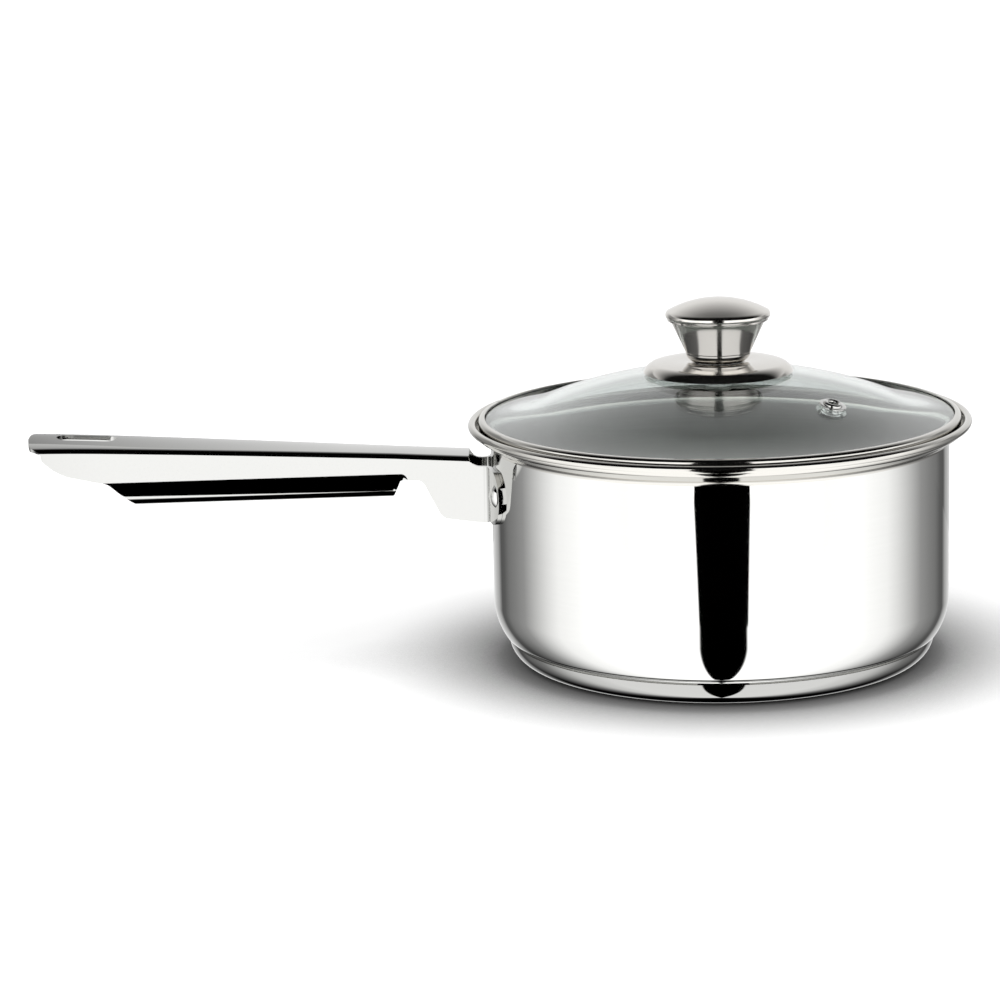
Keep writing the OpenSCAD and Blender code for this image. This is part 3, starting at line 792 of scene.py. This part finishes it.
class SAUCEPAN_OT_vent(bpy.types.Operator):
    """Rolled steel eyelet of the steam vent"""
    bl_idname = "saucepan.vent"
    bl_label = "Steam vent"

    def execute(self, context):
        c = context.scene.saucepan_colours
        bore, tube, foot, flange, lift = 2.0, 3.3, -5.4, 4.7, 0.1
        outline = ([(bore, lift), (bore, foot), (tube, foot), (tube, lift), (flange, lift)]
                   + arc(4.4, 0.5, 0.3, 0, 90, 15) + [(3.35, 0.8)] + arc(2.5, 0.8, 0.9, 0, 180, 12)[1:])
        eyelet = turned("vent_ring", outline, 96, place=at_vent(), sharp=50)
        finish_piece(eyelet, "lid", [polished_steel(c.polished)], ["vent_eyelet"])
        refinish("vent_washer", polished_steel(c.polished))
        return {"FINISHED"}


# ---------------------------------------------------------------- knob

class SAUCEPAN_OT_knob(bpy.types.Operator):
    """Pressed knob: convex plate, waisted body and domed cap"""
    bl_idname = "saucepan.knob"
    bl_label = "Knob"

    def execute(self, context):
        c = context.scene.saucepan_colours
        steel = satin_steel(c.satin)
        h = KNOB_T / 2
        crest_at, crest_r, crest_lift, edge_r = 14.5, 40.0, 0.6, 4.6
        crest_z = PLATE_Z + crest_lift - h
        edge_at = PLATE_R - h - edge_r * (math.sin(math.radians(70)) - math.sin(math.radians(11.5)))
        slope = math.degrees(math.asin((edge_at - crest_at) / crest_r))
        ec = (crest_at + (crest_r - edge_r) * math.sin(math.radians(slope)),
              crest_z - crest_r + (crest_r - edge_r) * math.cos(math.radians(slope)))
        path = ([(KNOB_BORE_R, PLATE_Z - h), (9.5, PLATE_Z - h)]
                + arc(crest_at, crest_z - crest_r, crest_r, 94.6, 90 - slope, 1.2)
                + arc(*ec, edge_r, 90 - slope - 4, 20, 4))
        plate = turned("plate", sheet_outline(path, KNOB_T), 192, sharp=60)
        finish_piece(plate, "lid", [steel], ["knob_plate"])

        foot_z, foot_r, crease_z, lip_r, lip_z = PLATE_Z + 0.1, 3.2, 108.8, 16.7, 119.9
        neck = 11.4 - h
        cone = [(neck + (lip_r - h - 0.2 - neck) * f, crease_z + (lip_z - crease_z) * f)
                for f in (0.04, 0.25, 0.5, 0.75, 0.96, 1.0)]
        path = ([(KNOB_BORE_R, foot_z + h)] + arc(neck - foot_r, foot_z + h + foot_r, foot_r, -90, -4, 5)
                + [(neck, crease_z)] + cone + [(lip_r - h + 0.1, lip_z + 1.3)])
        body = turned("knob_cup", sheet_outline(path, KNOB_T), 192, sharp=40)
        brushed = satin_steel(c.satin, "stainless_brushed_round", (0.12, 0.18), 0.7)
        finish_piece(body, "lid", [brushed], ["knob_body"])

        top, dome, cap_r = 127.7, 37.0, 18.4
        edge, edge_z = cap_r - h, top - dome + math.sqrt(dome ** 2 - cap_r ** 2)
        slope = math.degrees(math.asin((edge - 0.9) / dome))
        path = ([(0, top - h)] + arc(0, top - dome, dome - h, 88, 90 - slope, 2)
                + arc(edge - 1.2, edge_z - 0.9, 1.2, 52, -60, 7) + [(lip_r + h + 0.15, lip_z + 0.2)])
        cap = turned("knob_top", sheet_outline(path, KNOB_T), 192, sharp=50)
        finish_piece(cap, "lid", [steel], ["knob_cap"])
        return {"FINISHED"}


class SAUCEPAN_OT_fixings(bpy.types.Operator):
    """Finishes for the pieces that keep their CAD shape: gaskets, washer, screw and insert"""
    bl_idname = "saucepan.fixings"
    bl_label = "Fixings"

    def execute(self, context):
        c = context.scene.saucepan_colours
        silicone = silicone_rubber(c.silicone)
        brass = plain_metal("brass_turned", "#C9A667", 0.3, 500.0)
        for node, mat in (("knob_gasket", silicone), ("glass_gasket", silicone), ("knob_insert", brass),
                          ("screw_washer", polished_steel(c.polished)),
                          ("knob_screw", polished_steel(c.polished))):
            refinish(node, mat)
        return {"FINISHED"}


# ---------------------------------------------------------------- stage

class SAUCEPAN_OT_stage(bpy.types.Operator):
    """Pale floor with a painted contact shadow, soft studio light with a ring of reflector cards, and the
    camera
    """
    bl_idname = "saucepan.stage"
    bl_label = "Stage"
    reflected_power = 1.7  # of the cards, and of the pale ground as mirrors see it

    def execute(self, context):
        self.floor(context)
        self.cards(context)
        self.world(context)
        self.camera(context)
        return {"FINISHED"}

    def floor(self, context):
        """A matt floor with a painted contact shadow: its colour darkens where the object comes close to
        it.
        """
        mesh = bpy.data.meshes.new("floor")
        e, below = 8.0, 0.0002
        mesh.from_pydata([(-e, -e, 0), (e, -e, 0), (e, e, 0), (-e, e, 0)], [], [(0, 1, 2, 3)])
        floor = bpy.data.objects.new("floor", mesh)
        context.scene.collection.objects.link(floor)
        mat, tree, out = material("floor_matt_white_painted_shadow")
        # Painted shadow: ambient occlusion darkens the floor's colour near the pan, on top of the shade the
        # light casts
        near = add(tree, "ShaderNodeAmbientOcclusion", {"samples": 16}, Distance=0.065)
        shade = ramp(tree, near.outputs["AO"],
                     [(0.0, 0.02), (0.5, 0.2), (0.65, 0.42), (0.8, 0.68), (0.94, 0.86)])
        bsdf = add(tree, "ShaderNodeBsdfPrincipled", {}, Base_Color=shade, Roughness=0.9)
        bsdf.inputs["Specular IOR Level"].default_value = 0.0
        tree.links.new(bsdf.outputs[0], out.inputs["Surface"])
        mesh.materials.append(mat)
        floor.visible_glossy = False
        floor.location.z = -below

    def cards(self, context):
        """Cards seen only in reflections: a ring, white in front but for a gap, grey behind."""
        steps, low, high = 240, -0.028, 0.27
        half_x, half_y, squareness = 0.55, 0.30, 4
        verts = []
        for i in range(steps):
            c, d = math.sin(2 * math.pi * i / steps), -math.cos(2 * math.pi * i / steps)
            k = (abs(c / half_x) ** squareness + abs(d / half_y) ** squareness) ** (-1 / squareness)
            verts += [(k * c, k * d, low), (k * c, k * d, high)]
        n = 2 * steps
        faces = [(i, i + 1, (i + 3) % n, (i + 2) % n) for i in range(0, n, 2)]
        # Small cards just over the knob's plate, left and right of its front
        inner, outer, level, wedge = 0.0126, 0.0235, 0.107, 5
        for side in (-1, 1):
            for a in range(5, 95, wedge):
                b = a + wedge
                corners = [(r * math.sin(math.radians(t)), -r * math.cos(math.radians(t)))
                           for r, t in ((inner, a), (outer, a), (outer, b), (inner, b))]
                faces.append(tuple(range(len(verts), len(verts) + 4))[::side])
                verts += [(side * x, y, level) for x, y in corners]
        mesh = bpy.data.meshes.new("cards")
        mesh.from_pydata(verts, [], faces)
        ring = bpy.data.objects.new("cards", mesh)
        context.scene.collection.objects.link(ring)
        mat, tree, out = material("reflector_cards")
        co = add(tree, "ShaderNodeTexCoord")
        xyz = add(tree, "ShaderNodeSeparateXYZ", Vector=co.outputs["Object"])
        front = add(tree, "ShaderNodeMath", {"operation": "MULTIPLY"}, i0=xyz.outputs["Y"], i1=-1.0)
        angle = add(tree, "ShaderNodeMath", {"operation": "ARCTAN2"}, i0=xyz.outputs["X"],
                    i1=front.outputs[0])
        # The gap leans in towards its foot, where the pot's corner would spread it
        taper = add(tree, "ShaderNodeMapRange", {}, Value=xyz.outputs["Z"], From_Min=low, From_Max=0.029,
                    To_Min=1.165, To_Max=1.0)
        bent = add(tree, "ShaderNodeMath", {"operation": "MULTIPLY"}, i0=angle.outputs[0],
                   i1=taper.outputs[0])
        away = add(tree, "ShaderNodeMath", {"operation": "ABSOLUTE"}, i0=angle.outputs[0])
        ring_tone = ramp(tree, turn_share(tree, away.outputs[0]),
                         [(0, 1.0), (37, 1.0), (45, 0.9), (79, 0.95), (84, 0.79), (91, 0.64), (98, 0.50),
                          (104, 0.35), (110, 0.24), (118, 0.17), (125, 0.14), (131, 0.08), (136, 0.07),
                          (140, 0.26), (150, 0.4)])
        gap_at, gap_half = math.radians(2.05), math.radians(12.05)
        mid = add(tree, "ShaderNodeMath", {"operation": "ADD"}, i0=bent.outputs[0], i1=gap_at)
        off = add(tree, "ShaderNodeMath", {"operation": "ABSOLUTE"}, i0=mid.outputs[0])
        lit = add(tree, "ShaderNodeMath", {"operation": "GREATER_THAN"}, i0=off.outputs[0], i1=gap_half)
        # Dimmer high up behind, for what the crown of the handle and the knob's cap show
        behind = add(tree, "ShaderNodeMapRange", {}, Value=xyz.outputs["Y"], From_Min=0.26, From_Max=0.30)
        raised = add(tree, "ShaderNodeMapRange", {}, Value=xyz.outputs["Z"], From_Min=0.05, From_Max=0.08)
        upper = add(tree, "ShaderNodeMath", {"operation": "MULTIPLY"}, i0=behind.outputs[0],
                    i1=raised.outputs[0])
        beside = add(tree, "ShaderNodeMapRange", {}, Value=xyz.outputs["X"], From_Min=-0.31, From_Max=-0.14)
        dim = add(tree, "ShaderNodeMix", {"data_type": "RGBA"}, Factor=beside.outputs[0], A=grey(0.24),
                  B=grey(0.56))
        tone = add(tree, "ShaderNodeMix", {"data_type": "RGBA"}, Factor=upper.outputs[0], A=ring_tone,
                   B=dim.outputs["Result"])
        # The small cards are the ones within this reach of the origin
        small_reach = 0.15
        reach = add(tree, "ShaderNodeVectorMath", {"operation": "LENGTH"}, i0=co.outputs["Object"])
        near = add(tree, "ShaderNodeMath", {"operation": "LESS_THAN"}, i0=reach.outputs["Value"],
                   i1=small_reach)
        glint = ramp(tree, turn_share(tree, away.outputs[0]),
                     [(0, 0.56), (44, 0.52), (49, 0.08), (95, 0.04)])
        both = add(tree, "ShaderNodeMix", {"data_type": "RGBA"}, Factor=near.outputs[0],
                   A=tone.outputs["Result"], B=glint)
        shown = add(tree, "ShaderNodeMath", {"operation": "MAXIMUM"}, i0=lit.outputs[0], i1=near.outputs[0])
        power = add(tree, "ShaderNodeMath", {"operation": "MULTIPLY"}, i0=shown.outputs[0],
                    i1=self.reflected_power)
        glow = add(tree, "ShaderNodeEmission", {}, Color=both.outputs["Result"], Strength=power.outputs[0])
        # The small cards are lit on top only
        side = add(tree, "ShaderNodeNewGeometry")
        hidden = add(tree, "ShaderNodeMath", {"operation": "MULTIPLY"}, i0=side.outputs["Backfacing"],
                     i1=near.outputs[0])
        clear = add(tree, "ShaderNodeBsdfTransparent")
        card = add(tree, "ShaderNodeMixShader", {}, i0=hidden.outputs[0], i1=glow.outputs[0],
                   i2=clear.outputs[0])
        tree.links.new(card.outputs[0], out.inputs["Surface"])
        mesh.materials.append(mat)
        ring.visible_camera = ring.visible_diffuse = ring.visible_shadow = False
        ring.visible_transmission = ring.visible_volume_scatter = False

    def world(self, context):
        """Pale all round; mirrors see a bright back that falls to black overhead, and a pale foreground."""
        world = bpy.data.worlds.new("studio")
        context.scene.world = world
        world.use_nodes = True
        tree = world.node_tree
        tree.nodes.clear()
        out = tree.nodes.new("ShaderNodeOutputWorld")
        co = add(tree, "ShaderNodeTexCoord")
        xyz = add(tree, "ShaderNodeSeparateXYZ", Vector=co.outputs["Generated"])
        arch = add(tree, "ShaderNodeMath", {"operation": "ARCTAN2"}, i0=xyz.outputs["Z"],
                   i1=xyz.outputs["Y"])
        sky = ramp(tree, turn_share(tree, arch.outputs[0]),
                   [(0, 1.05), (15, 1.05), (30, 0.85), (42, 0.58), (55, 0.28), (70, 0.05), (78, 0.0)])
        front = add(tree, "ShaderNodeMath", {"operation": "MULTIPLY"}, i0=xyz.outputs["Y"], i1=-1.0)
        angle = add(tree, "ShaderNodeMath", {"operation": "ARCTAN2"}, i0=xyz.outputs["X"],
                    i1=front.outputs[0])
        gap_at = math.radians(1.75)
        mid = add(tree, "ShaderNodeMath", {"operation": "ADD"}, i0=angle.outputs[0], i1=gap_at)
        off = add(tree, "ShaderNodeMath", {"operation": "ABSOLUTE"}, i0=mid.outputs[0])
        ground = ramp(tree, turn_share(tree, off.outputs[0]),
                      [(11.5, 0.0), (12.0, 1.0), (66, 1.0), (77, 0.88), (90, 0.79), (98, 0.64), (106, 0.47),
                       (112, 0.35), (118, 0.24), (127, 0.18), (135, 0.14), (142, 0.08), (147, 0.07),
                       (153, 0.28), (163, 0.42), (178, 0.6)])
        low = add(tree, "ShaderNodeMath", {"operation": "LESS_THAN"}, i0=xyz.outputs["Z"], i1=0.0)
        # No light from steeply below at the back, so that the capsule's sides stay grey
        behind = add(tree, "ShaderNodeMapRange", {}, Value=off.outputs[0], From_Min=math.radians(120),
                     From_Max=math.radians(150))
        steep = add(tree, "ShaderNodeMapRange", {}, Value=xyz.outputs["Z"], From_Min=-0.4, From_Max=-0.65)
        under = add(tree, "ShaderNodeMath", {"operation": "MULTIPLY"}, i0=behind.outputs[0],
                    i1=steep.outputs[0])
        left = add(tree, "ShaderNodeMapRange", {}, Value=under.outputs[0], To_Min=self.reflected_power,
                   To_Max=0.0)
        lower = add(tree, "ShaderNodeBackground", {}, Color=ground, Strength=left.outputs[0])
        upper = add(tree, "ShaderNodeBackground", {}, Color=sky, Strength=1.0)
        mirror = add(tree, "ShaderNodeMixShader", {}, i0=low.outputs[0], i1=upper.outputs[0],
                     i2=lower.outputs[0])
        plain = add(tree, "ShaderNodeBackground", {}, Color=grey(1), Strength=1.2)
        rise = add(tree, "ShaderNodeMapRange", {}, Value=xyz.outputs["Z"], From_Min=-0.02, From_Max=0.25)
        soft = ramp(tree, rise.outputs[0], [(0.0, 0.50), (1.0, 1.0)])
        up = add(tree, "ShaderNodeMapRange", {}, Value=xyz.outputs["Y"], From_Min=-1.0, From_Max=1.0,
                 To_Min=0.5, To_Max=1.8)
        # Light that reaches the inside through the glass: a dark sector behind, brighter on the left
        bearing = add(tree, "ShaderNodeMath", {"operation": "ARCTAN2"}, i0=xyz.outputs["X"],
                      i1=xyz.outputs["Y"])
        share = add(tree, "ShaderNodeMapRange", {}, Value=bearing.outputs[0], From_Min=-math.pi,
                    From_Max=math.pi)
        fan = ramp(tree, share.outputs[0],
                   [(0.0, 0.7), (0.36, 1.0), (0.44, 0.95), (0.49, 0.35), (0.53, 0.3), (0.58, 0.6),
                    (0.68, 0.8), (1.0, 0.7)])
        climb = add(tree, "ShaderNodeMapRange", {}, Value=xyz.outputs["Z"], From_Min=0.05, From_Max=0.15)
        lobe = add(tree, "ShaderNodeMix", {"data_type": "RGBA"}, Factor=climb.outputs[0], A=soft, B=fan)
        through = add(tree, "ShaderNodeBackground", {}, Color=lobe.outputs["Result"],
                      Strength=up.outputs[0])
        # Light on matt things comes from the front and above, so that shadows stay short before the pan
        facing = add(tree, "ShaderNodeVectorMath", {"operation": "DOT_PRODUCT"}, i0=co.outputs["Generated"],
                     i1=(0.0, -0.8, 0.6))
        level = add(tree, "ShaderNodeMapRange", {}, Value=facing.outputs["Value"], From_Min=-0.3,
                    From_Max=0.9, To_Min=0.35, To_Max=2.3)
        light = add(tree, "ShaderNodeBackground", {}, Color=grey(1), Strength=level.outputs[0])
        path = add(tree, "ShaderNodeLightPath")
        seen = add(tree, "ShaderNodeMixShader", {}, i0=path.outputs["Is Diffuse Ray"], i1=plain.outputs[0],
                   i2=light.outputs[0])
        shiny = add(tree, "ShaderNodeMixShader", {}, i0=path.outputs["Is Glossy Ray"], i1=seen.outputs[0],
                    i2=mirror.outputs[0])
        whole = add(tree, "ShaderNodeMixShader", {}, i0=path.outputs["Is Transmission Ray"],
                    i1=shiny.outputs[0], i2=through.outputs[0])
        tree.links.new(whole.outputs[0], out.inputs["Surface"])
        context.scene.view_settings.view_transform = "Standard"

    def camera(self, context):
        """A long lens in front of the pan, a little above it and rolled by a degree and a half."""
        data = bpy.data.cameras.new("camera")
        cam = bpy.data.objects.new("camera", data)
        context.scene.collection.objects.link(cam)
        forward = Vector((-0.01335, 0.97696, -0.21303)).normalized()
        right0 = Vector((forward.y, -forward.x, 0)).normalized()
        up0 = right0.cross(forward)
        roll = -0.0241
        right = right0 * math.cos(roll) + up0 * math.sin(roll)
        up = -right0 * math.sin(roll) + up0 * math.cos(roll)
        turn = Matrix((right, up, -forward)).transposed().to_4x4()
        cam.matrix_world = Matrix.Translation((-0.0616, -1.1756, 0.3133)) @ turn
        data.sensor_width = 36.0
        data.lens = data.sensor_width * 3.4
        data.clip_end = 50.0
        context.scene.camera = cam


class SAUCEPAN_PT_panel(bpy.types.Panel):
    """Lists the sizes, the colours and the operators"""
    bl_idname = "SAUCEPAN_PT_panel"
    bl_label = "Saucepan"
    bl_space_type = "VIEW_3D"
    bl_region_type = "UI"
    bl_category = "Saucepan"

    def draw(self, context):
        column = self.layout.column()
        for group in (context.scene.saucepan_sizes, context.scene.saucepan_colours):
            for name in group.__annotations__:
                column.prop(group, name)
        for operator in OPERATORS:
            column.operator(operator.bl_idname)


OPERATORS = (SAUCEPAN_OT_stage, SAUCEPAN_OT_pot, SAUCEPAN_OT_base, SAUCEPAN_OT_handle, SAUCEPAN_OT_rivets,
             SAUCEPAN_OT_glass, SAUCEPAN_OT_band, SAUCEPAN_OT_vent, SAUCEPAN_OT_knob, SAUCEPAN_OT_fixings)
CLASSES = (SaucepanSizes, SaucepanColours) + OPERATORS + (SAUCEPAN_PT_panel,)


def register():
    for cls in CLASSES:
        bpy.utils.register_class(cls)
    bpy.types.Scene.saucepan_sizes = bpy.props.PointerProperty(type=SaucepanSizes)
    bpy.types.Scene.saucepan_colours = bpy.props.PointerProperty(type=SaucepanColours)


def unregister():
    del bpy.types.Scene.saucepan_colours
    del bpy.types.Scene.saucepan_sizes
    for cls in reversed(CLASSES):
        bpy.utils.unregister_class(cls)


def main():
    register()
    bpy.ops.saucepan.stage()
    bpy.ops.saucepan.pot()
    bpy.ops.saucepan.base()
    bpy.ops.saucepan.handle()
    bpy.ops.saucepan.rivets()
    bpy.ops.saucepan.glass()
    bpy.ops.saucepan.band()
    bpy.ops.saucepan.vent()
    bpy.ops.saucepan.knob()
    bpy.ops.saucepan.fixings()


if __name__ == "__main__":
    main()
